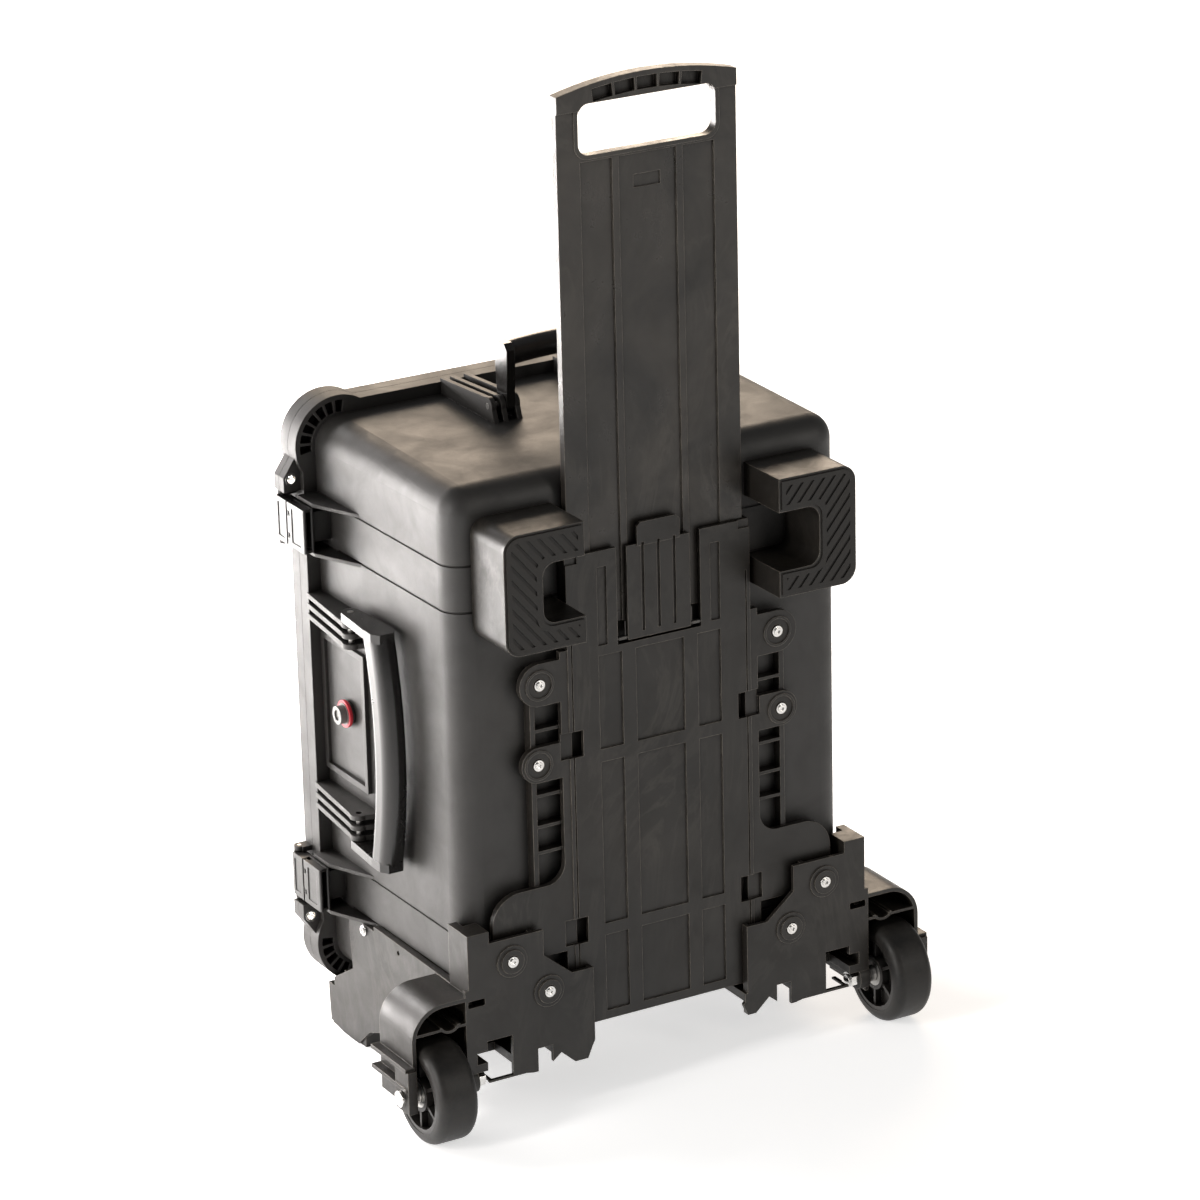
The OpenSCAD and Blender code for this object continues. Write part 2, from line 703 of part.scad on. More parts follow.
module valve_ring() placed() color("#b0202c") difference() {
    rod_x(valve_wall_x - 6.5, valve_y, mid_z, valve_d / 2 + 2.5, 3);
    rod_x(valve_wall_x - 8, valve_y, mid_z, valve_d / 2 + fit_c, 10);
}

module valve_cap() placed() color("#55504c") difference() {
    rod_x(valve_wall_x - 14, valve_y, mid_z, valve_d / 2 - 2, 7);
    rod_x(valve_wall_x - 14.5, valve_y, mid_z, valve_d / 2 - 6, 2);
}

module valve_nut() placed() color("#3a3836") difference() {
    translate([-wall_x + 8, valve_y, mid_z]) rotate([0, 90, 0]) cylinder(r = valve_d / 2, h = 5, $fn = 6);
    rod_x(-wall_x, valve_y, mid_z, valve_stem_r + fit_c, 30);
}

// ---------- slide housing ----------

// Strip, round tabs and the lower sweep of one flange
module flange_outline() {
    half = housing_w / 2;
    sweep_r = 30;
    fillet_r = 20;
    sweep_z = low_z + 159;
    sweep_x = plate_out_x - 14;
    translate([half - 12, housing_bot + 2]) square([20, boss_up[1] + 26 - housing_bot]);
    for (p = [boss_up, boss_low]) {
        translate(p) circle(flange_x - p[0]);
        translate([half - 2, p[1] - flange_x + p[0]]) square([p[0] - half + 2, 2 * (flange_x - p[0])]);
    }
    // Sweep into the wheel bracket with a round shoulder
    translate([half - 2, low_z + 88]) square([sweep_x - sweep_r - half + 2, sweep_z - low_z - 88]);
    translate([half - 2, low_z + 88]) square([sweep_x - half + 2, sweep_z - sweep_r - low_z - 88]);
    translate([sweep_x - sweep_r, sweep_z - sweep_r]) circle(sweep_r);
    translate([half + 7, sweep_z - 1]) difference() {
        square([fillet_r + 1, fillet_r + 1]);
        translate([fillet_r + 1, fillet_r + 1]) circle(fillet_r);
    }
}

// Recessed post and rungs behind the open side of the flange
module flange_ladder() {
    x0 = housing_w / 2 + 4;
    x1 = flange_x - 12;
    slab_xz(front_y + 5, -0.3) {
        translate([x1 - 5, low_z + 150]) square([5, boss_up[1] - low_z - 150]);
        for (z = [mid_z - 31, mid_z - 62, mid_z - 88, mid_z + 34]) translate([x0, z]) square([x1 - x0, 3]);
    }
}

module boss_rings(p, y) {
    difference() {
        rod_y(p[0], y - 1.2, p[1], 15, 2.2);
        rod_y(p[0], y - 2, p[1], 12.5, 2);
    }
}

// Columns of moulded panels, a narrow one on each side of a wide one, in three rows
module housing_panels() {
    for (z = [[housing_bot + 9, low_z + 94.5], [low_z + 106.5, mid_z - 8], [mid_z + 5, lever_bot - 12]]) {
        for (x = [[-66, -41], [-26, 26], [41, 66]])
            block([x[0], front_y - 1, z[0]], [x[1], front_y + panel_t, z[1]]);
    }
    for (s = [-1, 1]) block([s > 0 ? 56 : -66, front_y - 1, lever_bot - 2],
        [s > 0 ? 66 : -56, front_y + panel_t, housing_top - 16]);
}

module slide_housing() placed() color("#35312d") difference() {
    union() {
        // Raised middle
        block([-housing_w / 2, front_y, housing_bot], [housing_w / 2, 0, housing_top]);
        both_sides() {
            slab_xz(front_y + 1, front_y + 1 + flange_t) flange_outline();
            flange_ladder();
            // The flange stands off the case on bosses
            for (p = [boss_up, boss_low]) {
                rod_y(p[0], front_y + 2, p[1], 11, -front_y - 2);
                boss_rings(p, front_y + 1);
            }
            rod_y(b_out[0], plate_front + bracket_t, b_out[1], 9, -plate_front - bracket_t);
        }
    }
    // Channel for the plate, open at the top
    block([-pull_w / 2 - slide_gap, cover_y, housing_bot + 5],
        [pull_w / 2 + slide_gap, -floor_t, housing_top + 1]);
    // Square slots in the flange roots
    for (s = [-1, 1], z = [slot_z1, slot_z2])
        block([s * (housing_w / 2 - 2.6) - slot_w, front_y - 2, z - 13],
            [s * (housing_w / 2 - 2.6) + slot_w, cover_y + 0.1, z + 13]);
    // Opening for the release lever
    block([-lever_w / 2 - lever_gap, front_y - 1, lever_bot - 5],
        [lever_w / 2 + lever_gap, cover_y + 1, housing_top + 1]);
    housing_panels();
    both_sides() {
        // Seam beside the flange
        block([housing_w / 2 - 5, front_y - 1, housing_bot - 1],
            [housing_w / 2 - 3.8, front_y + 2, housing_top - 50]);
        for (p = [boss_up, boss_low, b_out]) rod_y(p[0], plate_front - 5, p[1], screw_d / 2 + fit_c, 40);
        for (p = [boss_up, boss_low]) rod_y(p[0], front_y - 1, p[1], head_d / 2 + 1, 3);
    }
    rod_x(-lever_w / 2 - lever_gap - 9, pin_y, lever_bot, pin_r + fit_c, lever_w + 2 * lever_gap + 18);
    // Top corners of the cover are stepped down beside the plate
    for (s = [-1, 1]) block([s > 0 ? housing_w / 2 - 12 : -housing_w / 2 - 1, front_y - 1, housing_top - 8],
        [s > 0 ? housing_w / 2 + 1 : -housing_w / 2 + 12, front_y + 2, housing_top + 1]);
}

// ---------- pull handle ----------

module pull_outline() {
    translate([-pull_w / 2, pull_bot]) square([pull_w, hole_bot - pull_bot + 1]);
    intersection() {
        translate([0, arch_top - arch_r]) circle(arch_r, $fn = 160);
        union() {
            translate([-pull_w / 2, hole_bot]) square([pull_w, arch_top - hole_bot - 40]);
            round_rect(-pull_w / 2, hole_bot, pull_w / 2, arch_top + 20, 26);
        }
    }
}

// Recessed panels of the plate and the pockets of the grip bar
module pull_recesses() {
    for (x = [[-70, -37], [-30, 30], [37, 70]])
        block([x[0], plate_y - 1, pull_bot - 1], [x[1], plate_y + 2, hole_bot - 6]);
    for (i = [-2:2]) translate([0, plate_y + 4, arch_top - arch_r])
        rotate([0, i * pocket_pitch / arch_r * 180 / PI, 0])
            translate([0, 0, arch_r - 5]) block([-10.5, -7, -12], [10.5, 0, 0]);
    for (s = [-1, 1]) rod_y(s * 66, plate_y - 1, hole_top - 0.5, 5.5, 5);
}

module pull_handle() placed() color("#3a3632") difference() {
    union() {
        slab_xz(plate_y, plate_y + pull_t) pull_outline();
        // Thicker grip bar
        slab_xz(plate_y - 2, plate_y + pull_t + 2) intersection() {
            pull_outline();
            translate([-pull_w, hole_top - 6]) square([2 * pull_w, arch_h + 20]);
        }
        // Rim of the hand hole
        slab_xz(plate_y - 1, plate_y + pull_t + 1)
            round_rect(-pull_w / 2 + stile_w - 4, hole_bot - 4, pull_w / 2 - stile_w + 4, hole_top + 4, 14);
    }
    slab_xz(plate_y - 10, plate_y + pull_t + 10)
        round_rect(-pull_w / 2 + stile_w, hole_bot, pull_w / 2 - stile_w, hole_top, 11);
    pull_recesses();
    // Detent pockets that the release lever's nose rests over
    for (z = [detent_z, detent_z + pull_travel])
        block([-14, plate_y + 1, z - 6], [14, plate_y + 3.4, z + 6]);
}

// ---------- release lever ----------

module release_lever() placed() color("#3a3632") difference() {
    union() {
        block([-lever_w / 2, lever_y0, lever_bot - 2.5],
            [lever_w / 2, lever_y0 + lever_t, housing_top - 1]);
        rod_x(-lever_w / 2, pin_y, lever_bot, lever_t / 2 + 0.5, lever_w);
        // Finger tab with sloped corners
        slab_xz(lever_y0 - 1, lever_y0 + 2.4) polygon([[-23, housing_top - 3], [23, housing_top - 3],
            [23, lever_top + 8], [19, lever_top + 12], [-19, lever_top + 12], [-23, lever_top + 8]]);
        // Nose over the plate's detents
        block([-12, lever_y0 + 1, detent_z - 3], [12, plate_y + 1.4, detent_z + 3]);
    }
    for (i = [-1:1]) block([i * 17 - 1.4, lever_y0 - 1, lever_bot + 4],
        [i * 17 + 1.4, lever_y0 + 1.6, housing_top]);
    rod_x(-lever_w, pin_y, lever_bot, pin_r + fit_c, 2 * lever_w);
}

module release_pin() placed() color("#9a9a9a")
    rod_x(-lever_w / 2 - lever_gap - 7, pin_y, lever_bot, pin_r, lever_w + 2 * lever_gap + 14);

// Wound springs on the pin beside the lever, each with a straight leg
module release_spring() placed() color("#b0b0ac") both_sides() {
    x0 = lever_w / 2 + 1.5;
    for (x = [x0 : 1.4 : x0 + 7]) difference() {
        rod_x(x, pin_y, lever_bot, pin_r + 0.65, x > x0 + 6.9 ? 1.1 : 1.5);
        rod_x(x - 1, pin_y, lever_bot, pin_r + fit_c, 4);
    }
    block([x0, pin_y - 0.4, lever_bot + pin_r + 0.2], [x0 + 0.8, pin_y + 0.4, lever_bot + 16]);
}

// ---------- bumpers ----------

module bumper_outline(c) {
    difference() {
        union() {
            round_rect(bumper_in_x + 10 + c, bumper_bot + c, bumper_in_x + bumper_w - c,
                bumper_top - c, 16 - c);
            translate([bumper_in_x + c, bumper_bot + c]) square([40, bumper_l - 2 * c]);
        }
        union() {
            round_rect(bumper_in_x + 1, notch_bot - c, bumper_in_x + notch_w + c,
                notch_bot + notch_h + c, 13);
            translate([bumper_in_x - 1, notch_bot - c]) square([28, notch_h + 2 * c]);
        }
    }
}

module bumper_body() difference() {
    slab_xz(-bumper_d, 0) bumper_outline(0);
    // Hollow from the back, with a middle rib
    difference() {
        slab_xz(-bumper_d + bumper_wall + pad_t, 1) bumper_outline(bumper_wall);
        block([bumper_in_x + notch_w + 18, -bumper_d, bumper_bot],
            [bumper_in_x + notch_w + 22, 0, bumper_top]);
    }
    // Seat of the tread pad
    slab_xz(-bumper_d - 1, -bumper_d + pad_t) bumper_outline(2.5);
}

module bumper_pad() difference() {
    slab_xz(-bumper_d - 1.5, -bumper_d + pad_t) bumper_outline(2.5 + fit_c);
    // Slanted tread grooves
    intersection() {
        slab_xz(-bumper_d - 3, -bumper_d) bumper_outline(7);
        for (i = [-9:9]) translate([bumper_in_x + bumper_w / 2, -bumper_d - 2, bumper_bot + bumper_l / 2])
            rotate([0, -50, 0]) translate([-80, 0, i * 9]) cube([160, 2.6, 2.8]);
    }
}

module bumper_right() placed() color("#2c2927") bumper_body();
module bumper_left() placed() color("#2c2927") mirror([1, 0, 0]) bumper_body();
module bumper_pad_right() placed() color("#1f1d1c") bumper_pad();
module bumper_pad_left() placed() color("#1f1d1c") mirror([1, 0, 0]) bumper_pad();

// ---------- wheel brackets ----------

// Outline of the rear plate, f is the inner edge of its foot and v the middle of its lower notch
module bracket_outline(f, v) {
    z0 = low_z - 23;
    polygon([[plate_out_x - 62, plate_top], [plate_out_x, plate_top], [plate_out_x, z0 + 1.5],
        [v + 38, z0 + 1.5], [v + 30, z0], [v + 17, z0], [v, z0 + 13.5], [v - 15, z0], [f + 5, z0],
        [f, z0 + 11.5], [plate_in_x, z0 + 17.5], [plate_in_x, low_z + 69.5],
        [plate_in_x + 23, low_z + 69.5], [plate_out_x - 62, plate_top - 26]]);
}

// Profile of the wheel arch in X and Z, shrunk by c
module fender_profile(c) {
    x0 = c > 0 ? well_in_x : side_x;
    r = fender_r - c;
    cx = fender_x - fender_r;
    cz = fender_top - fender_r;
    translate([x0, 0]) square([cx - x0, cz + r]);
    translate([cx - 1, 0]) square([r + 1, cz]);
    translate([cx, cz]) circle(r);
}

// Stiffening ribs behind the rear plate, clear of the slide housing
module plate_ribs(f, v) {
    difference() {
        intersection() {
            slab_xz(plate_front, -0.3) bracket_outline(f, v);
            union() {
                for (x = [plate_in_x + 2, plate_out_x - 50, plate_out_x - 2])
                    block([x - 2, plate_front, 0], [x + 2, 0, mid_z]);
                for (z = [49.5, 27.5, -2.5])
                    block([0, plate_front, low_z + z], [plate_out_x, 0, low_z + z + 3]);
            }
        }
        block([0, front_y - 0.4, 0], [housing_w / 2 + 8.4, 1, mid_z]);
        block([0, front_y - 0.4, low_z + 87.5], [plate_out_x - 4.6, 1, mid_z]);
    }
}

// Wheel arch with its ledges and axle boss
module wheel_arch() {
    difference() {
        slab_xz(plate_front, fender_back) fender_profile(0);
        slab_xz(plate_front - 1, fender_back - bracket_t) fender_profile(bracket_t);
        block([0, plate_front - 1, -1], [ledge_x, fender_back + 1, axle_z - 13]);
    }
    for (z = [axle_z + 29, axle_z + 9])
        block([fender_x - 1, plate_front - 2, z], [ledge_x, fender_back + 2, z + 4]);
    block([fender_x - 1, -axle_y - 13, axle_z - 13], [ledge_x - 1, -axle_y + 13, axle_z + 30]);
    rod_x(side_x - side_t, -axle_y, axle_z, 12, well_in_x - side_x + side_t);
    // Skin and top between the rear plate and the arch
    block([plate_out_x - 3, plate_front, low_z + 12.5], [well_in_x, plate_front + bracket_t, low_z + 78]);
    block([plate_out_x - 3, plate_front, low_z + 68], [well_in_x, 10, fender_top]);
    wavy_rib();
}

// Thin wavy rib that closes the arch above the wheel
module wavy_rib() {
    slab_xz(plate_front, fender_back - 2) {
        translate([well_in_x - 1, rib_z]) square([12, 2.5]);
        translate([well_in_x + 24, rib_z]) square([fender_x - well_in_x - 26, 2.5]);
        intersection() {
            translate([well_in_x + 17, rib_z + 9]) difference() {
                circle(12.5);
                circle(10);
            }
            translate([well_in_x + 5, rib_z - 5]) square([22, 9]);
        }
    }
}

// Side wall seen along X, in Y and Z
module side_outline() {
    y = foot_y - 58;
    difference() {
        polygon([[plate_front, low_z + 72.5], [y + 5, low_z + 72.5], [y + 10, low_z + 56.5],
            [y + 6, low_z + 10.5], [foot_y + 2, low_z - 21.5], [foot_y + 2, low_z - 36], [foot_y, 4],
            [foot_y - 26, 0], [y, 0], [y - 24, 21], [y - 48, 30], [y - 98, low_z - 22.5],
            [plate_front, low_z - 22.5]]);
        polygon([[122, low_z + 16.5], [108, low_z + 32.5], [96, low_z + 16.5]]);
    }
}

module foot_block() {
    x = case_w / 2;
    difference() {
        block([x - 37, foot_y - 70, 0], [side_x - 2, foot_y, low_z]);
        block([x - 33, foot_y - 66, -1], [side_x - side_t, foot_y - 4, low_z - 9]);
        block([x - 40, foot_y - 30, low_z - 23.5], [side_x + 1, foot_y + 10, low_z + 1]);
    }
}

module bracket(f, v) difference() {
    union() {
        slab_xz(plate_front, plate_front + bracket_t) bracket_outline(f, v);
        plate_ribs(f, v);
        // Bottom plate under the case with its ribs
        block([f + 2, plate_front, low_z - draft - 4.4], [side_x - 3, foot_y - 36, low_z]);
        for (y = [40, 100, 160]) block([f + 30, y, low_z - 22], [side_x - 3, y + 4, low_z - 7]);
        // Side wall with the front foot
        slab_yz(side_x - side_t, side_x) side_outline();
        foot_block();
        // Lip round the corner of the case
        block([plate_out_x - 4, plate_front, low_z + 63.5], [side_x, -0.3, low_z + 132.5]);
        block([case_w / 2, -2, low_z + 63.5], [side_x, 12, low_z + 132.5]);
        wheel_arch();
    }
    // The case and its rim stay clear
    shell_body(-0.3, 0, base_d);
    block([0, base_d - rim_t - 0.5, low_z - 23.5], [side_x + 1, base_d + 1, mid_z]);
    block([0, base_d - 106, low_z + 67.8], [side_x + 1, base_d, mid_z]);
    // Room for the housing's lower end
    block([0, front_y - 0.4, housing_bot - 0.4], [housing_w / 2 + 0.4, 1, mid_z]);
    // Windows in the rear plate
    block([plate_out_x - 26, plate_front - 1, low_z - 19.5], [plate_out_x + 1, 12, low_z + 21.5]);
    block([v + 9, plate_front - 1, low_z - 25.5], [v + 25, 0, low_z + 0.5]);
    slab_xz(plate_front - 1, plate_front + 8)
        round_rect(plate_out_x + 2, low_z + 59.5, well_in_x - 3, low_z + 66.5, 2);
    // Screw and axle holes
    for (p = [b_out, b_in]) rod_y(p[0], plate_front - 5, p[1], screw_d / 2 + fit_c, 40);
    rod_x(side_x - 20, side_screw[0], side_screw[1], screw_d / 2 + fit_c, 40);
    rod_x(side_x - 20, 116, low_z + 63.5, 2.5, 40);
    rod_x(side_x - 20, -axle_y, axle_z, axle_d / 2 + fit_c, 200);
}

module bracket_bosses() {
    for (p = [b_out, b_in]) difference() {
        union() {
            rod_y(p[0], plate_front - 1.4, p[1], 16, 2);
            rod_y(p[0], plate_front - 3, p[1], 12, 3.5);
            rod_y(p[0], plate_front + 1, p[1], 9, p == b_in ? -plate_front - 1.3 : bracket_t - 1);
        }
        rod_y(p[0], plate_front - 4, p[1], head_d / 2 + 1, 2.5);
        rod_y(p[0], plate_front - 9, p[1], screw_d / 2 + fit_c, 60);
    }
}

module wheel_bracket_right() placed() color("#37332f") union() {
    bracket(80, 109);
    bracket_bosses();
}

module wheel_bracket_left() placed() color("#37332f") mirror([1, 0, 0]) union() {
    bracket(88, 122);
    bracket_bosses();
}

// ---------- wheels ----------

// Wheel tyre with round shoulders, middle at the origin, axis along X
module tyre() rotate([0, 90, 0]) difference() {
    rotate_extrude($fn = 96) difference() {
        union() {
            translate([hub_r - 1, -wheel_w / 2 + 9]) square([wheel_r - hub_r + 1, wheel_w - 18]);
            translate([hub_r - 1, -wheel_w / 2]) square([wheel_r - hub_r - 8, wheel_w]);
            for (s = [-1, 1]) translate([wheel_r - 9, s * (wheel_w / 2 - 9)]) circle(9);
        }
        square([hub_r, 2 * wheel_w], center = true);
        translate([0, -wheel_w]) square([hub_r, 2 * wheel_w]);
    }
}

module hub() rotate([0, 90, 0]) difference() {
    union() {
        difference() {
            cylinder(r = hub_r, h = wheel_w - 1, center = true, $fn = 96);
            for (s = [-1, 1]) translate([0, 0, s * (wheel_w / 2 - 4)])
                cylinder(r = hub_r - 4, h = 12, center = true, $fn = 96);
        }
        cylinder(r = bearing_r + 4, h = wheel_w - 2, center = true);
        for (a = [0:60:300]) rotate(a) translate([bearing_r, -1.5, -wheel_w / 2 + 3])
            cube([hub_r - bearing_r - 1, 3, wheel_w - 6]);
    }
    cylinder(r = bearing_r - 3, h = 2 * wheel_w, center = true);
    for (s = [-1, 1]) translate([0, 0, s * (wheel_w / 2 - bearing_in - bearing_w / 2 + 5)])
        cylinder(r = bearing_r, h = bearing_w + 10, center = true);
}

module bearings() rotate([0, 90, 0]) for (s = [-1, 1])
    translate([0, 0, s * (wheel_w / 2 - bearing_in - bearing_w / 2)]) difference() {
        cylinder(r = bearing_r, h = bearing_w, center = true);
        cylinder(r = axle_d / 2 + fit_c, h = 2 * bearing_w, center = true);
    }

module at_wheel(s) {
    placed() translate([s * wheel_x, -axle_y, axle_z]) children();
}

module tyre_left() color("#1c1a19") at_wheel(-1) tyre();
module tyre_right() color("#1c1a19") at_wheel(1) tyre();
module wheel_hub_left() color("#2a2826") at_wheel(-1) hub();
module wheel_hub_right() color("#2a2826") at_wheel(1) hub();
module wheel_bearings_left() color("#8f8f8c") at_wheel(-1) bearings();
module wheel_bearings_right() color("#8f8f8c") at_wheel(1) bearings();

// Bolt with a round head outside and a nut inside
module axle_bolts() placed() color("#b9b9b6") both_sides() {
    x0 = side_x - side_t - nut_h - 2;
    rod_x(x0, -axle_y, axle_z, axle_d / 2, ledge_x - x0);
    rod_x(ledge_x - 1, -axle_y, axle_z, 8, 4);
}

module axle_nuts() placed() color("#c4c4c0") both_sides()
    translate([side_x - side_t - nut_h, -axle_y, axle_z]) rotate([0, 90, 0]) difference() {
        cylinder(d = nut_af / cos(30), h = nut_h, $fn = 6);
        translate([0, 0, -1]) cylinder(r = axle_d / 2 + fit_c, h = nut_h + 2);
    }

module axle_spacers() placed() color("#3a3a3a") both_sides() {
    for (x = [[well_in_x, wheel_x - wheel_w / 2 + bearing_in - side_c],
        [wheel_x + wheel_w / 2 - bearing_in + side_c, fender_x - bracket_t]])
        difference() {
            rod_x(x[0], -axle_y, axle_z, axle_d / 2 + 3, x[1] - x[0]);
            rod_x(x[0] - 1, -axle_y, axle_z, axle_d / 2 + fit_c, x[1] - x[0] + 2);
        }
}

// ---------- fasteners ----------

// Button-head screw pointing towards +Y from its head's seat
module screw_y(x, y, z, l) {
    difference() {
        union() {
            rod_y(x, y - 0.5, z, screw_d / 2, l);
            rod_y(x, y - 2, z, head_d / 2, 2);
            rod_y(x, y - 3.4, z, head_d / 2 - 1.8, 2);
        }
        translate([x, y - 4, z]) rotate([-90, 0, 0]) cylinder(d = 4, h = 2, $fn = 6);
    }
}

module housing_screws() placed() color("#c4c4c0") both_sides()
    for (p = [boss_up, boss_low]) screw_y(p[0], front_y + 2, p[1], 26);

module bracket_screws() placed() color("#c4c4c0") both_sides()
    for (p = [b_out, b_in]) screw_y(p[0], plate_front - 1.5, p[1], 34);

module side_screws() placed() color("#c4c4c0") both_sides()
    translate([side_x, side_screw[0], side_screw[1]]) rotate([0, 0, 90]) screw_y(0, 0, 0, 16);

base_shell();
lid_shell();
lid_seal();
hinge_pins();
padlock_bushes_base();
padlock_bushes_lid();
latch_hook_upper();
latch_hook_lower();
latch_lever_upper();
latch_lever_lower();
latch_hook_pins();
latch_lever_pin_upper();
latch_lever_pin_lower();
front_handle();
front_handle_pins();
top_handle();
top_handle_pins();
valve_body();
valve_ring();
valve_cap();
valve_nut();
slide_housing();
pull_handle();
release_lever();
release_pin();
release_spring();
bumper_left();
bumper_right();
bumper_pad_left();
bumper_pad_right();
wheel_bracket_left();
wheel_bracket_right();
wheel_hub_left();
wheel_hub_right();
tyre_left();
tyre_right();
wheel_bearings_left();
wheel_bearings_right();
axle_bolts();
axle_nuts();
axle_spacers();
housing_screws();
bracket_screws();
side_screws();
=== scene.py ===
import math

import bpy
from mathutils import Matrix, Vector

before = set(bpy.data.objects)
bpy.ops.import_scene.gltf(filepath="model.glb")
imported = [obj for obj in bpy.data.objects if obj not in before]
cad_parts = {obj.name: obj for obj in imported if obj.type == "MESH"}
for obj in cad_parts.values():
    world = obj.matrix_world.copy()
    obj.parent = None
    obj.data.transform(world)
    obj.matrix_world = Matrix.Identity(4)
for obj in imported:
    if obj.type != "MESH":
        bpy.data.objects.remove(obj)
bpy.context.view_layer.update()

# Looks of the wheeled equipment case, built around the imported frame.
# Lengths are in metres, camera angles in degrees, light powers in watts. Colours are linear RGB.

scene = bpy.context.scene

# ---------- sizes and settings ----------

BEVEL_SAMPLES = 4
CREVICE_SHADE_SAMPLES = 4
# How far the rounded normals reach, and how far the painted shade in a corner or groove reaches
PLASTIC_EDGE = 0.0009
RUBBER_EDGE = 0.0008
METAL_EDGE = 0.0005
CREVICE_SHADE_REACH = 0.012

CAMERA_AZIMUTH = -29.57
CAMERA_ELEVATION = 20.22
CAMERA_ROLL = -1.42
CAMERA_TARGET = Vector((0.00286, -0.0405, 0.4498))
CAMERA_DISTANCE = 4.95039
CAMERA_CLIP = 60
# Sensor width and focal length in mm
CAMERA_SENSOR = 36
CAMERA_LENS = 156.28

FLOOR_SIZE = 60
FLOOR_Z = -0.0005
FLOOR_GLOW = 0.55
WORLD_STRENGTH = 0.22


# ---------- materials ----------

class Tree:
    """One material's nodes, with short ways to add the kinds used here."""

    def __init__(self, name):
        self.mat = bpy.data.materials.new(name)
        self.mat.use_nodes = True
        self.nt = self.mat.node_tree
        self.nt.nodes.clear()
        output = self.add("ShaderNodeOutputMaterial")
        self.bsdf = self.add("ShaderNodeBsdfPrincipled")
        self.link(self.bsdf.outputs[0], output.inputs["Surface"])
        self.coord = self.add("ShaderNodeTexCoord").outputs["Object"]

    def add(self, kind, **props):
        n = self.nt.nodes.new(kind)
        for key, value in props.items():
            setattr(n, key, value)
        return n

    def link(self, a, b):
        self.nt.links.new(a, b)

    def put(self, socket, value):
        """Feed a socket from another socket, or set its value."""
        if isinstance(value, bpy.types.NodeSocket):
            self.link(value, socket)
        else:
            socket.default_value = value

    def set(self, name, value):
        self.put(self.bsdf.inputs[name], value)

    def noise(self, scale, detail, rough, distort=0.0, vec=None):
        n = self.add("ShaderNodeTexNoise")
        n.inputs["Scale"].default_value = scale
        n.inputs["Detail"].default_value = detail
        n.inputs["Roughness"].default_value = rough
        n.inputs["Distortion"].default_value = distort
        self.link(vec or self.coord, n.inputs["Vector"])
        return n.outputs[0]

    def stretch(self, *scale):
        """Object coordinates, scaled along each axis."""
        n = self.add("ShaderNodeMapping")
        n.inputs["Scale"].default_value = scale
        self.link(self.coord, n.inputs["Vector"])
        return n.outputs[0]

    def ramp(self, fac, stops):
        n = self.add("ShaderNodeValToRGB")
        elements = n.color_ramp.elements
        while len(elements) < len(stops):
            elements.new(0.5)
        for element, (position, colour) in zip(elements, stops):
            element.position = position
            element.color = (*colour, 1)
        self.link(fac, n.inputs[0])
        return n.outputs[0]

    def span(self, value, source, target):
        """Map the source range to the target range, clamped at both ends."""
        n = self.add("ShaderNodeMapRange")
        self.link(value, n.inputs["Value"])
        n.inputs["From Min"].default_value, n.inputs["From Max"].default_value = source
        n.inputs["To Min"].default_value, n.inputs["To Max"].default_value = target
        return n.outputs[0]

    def maths(self, op, a, b):
        n = self.add("ShaderNodeMath", operation=op)
        self.put(n.inputs[0], a)
        self.put(n.inputs[1], b)
        return n.outputs[0]

    def mix(self, fac, under, over):
        """Mix a plain colour over a colour socket."""
        n = self.add("ShaderNodeMix", data_type="RGBA")
        self.put(n.inputs[0], fac)
        self.put(n.inputs[6], under)
        self.put(n.inputs[7], (*over, 1))
        return n.outputs[2]

    def bump(self, height, strength, distance, normal):
        n = self.add("ShaderNodeBump")
        n.inputs["Strength"].default_value = strength
        n.inputs["Distance"].default_value = distance
        self.link(height, n.inputs["Height"])
        self.link(normal, n.inputs["Normal"])
        return n.outputs[0]

    def rounded(self, radius):
        """Normals rounded at the edges."""
        n = self.add("ShaderNodeBevel", samples=BEVEL_SAMPLES)
        n.inputs["Radius"].default_value = radius
        return n.outputs[0]

    def bent(self, normal):
        """0 on a face, up to 1 where the rounded normal bends from the true one."""
        true = self.add("ShaderNodeNewGeometry").outputs["Normal"]
        dot = self.add("ShaderNodeVectorMath", operation="DOT_PRODUCT")
        self.link(normal, dot.inputs[0])
        self.link(true, dot.inputs[1])
        return self.span(dot.outputs["Value"], (0.75, 1.0), (1.0, 0.0))

    def painted_crevice_shade(self):
        """Painted shade mask: 0 in the open, up to 1 far into a corner or groove, where shade falls.
        """
        n = self.add("ShaderNodeAmbientOcclusion", samples=CREVICE_SHADE_SAMPLES)
        n.inputs["Distance"].default_value = CREVICE_SHADE_REACH
        return self.span(n.outputs["AO"], (0.25, 0.85), (1.0, 0.0))


def scaled(colour, factor):
    return tuple(c * factor for c in colour)


